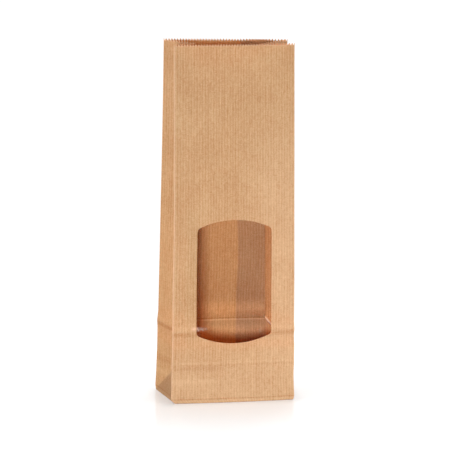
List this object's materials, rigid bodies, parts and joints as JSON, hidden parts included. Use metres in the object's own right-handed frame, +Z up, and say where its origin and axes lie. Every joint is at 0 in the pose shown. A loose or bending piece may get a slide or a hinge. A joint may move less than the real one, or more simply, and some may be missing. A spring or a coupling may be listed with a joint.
{
  "type": "kraft paper bag with window",
  "caption": "Empty upright block-bottom bag of brown ribbed paper, open at its pinked mouth, with folded-in gussets and a film window in the front panel.",
  "frame": {"origin": "centre of the rectangular bottom, on the surface that the bag stands on", "axes": "+Z up towards the mouth, +X to the viewer's right along the front panel, -Y out of the front panel that holds the window"},
  "size_m": [0.0711, 0.0412, 0.203],
  "materials": {
    "brown_paper": "matt ribbed brown wrapping paper, unprinted",
    "clear_film": "thin clear glossy plastic film with a crease across it"
  },
  "bodies": {
    "root": {"paper_bag": "brown_paper", "window_film": "clear_film"}
  },
  "joints": []
}
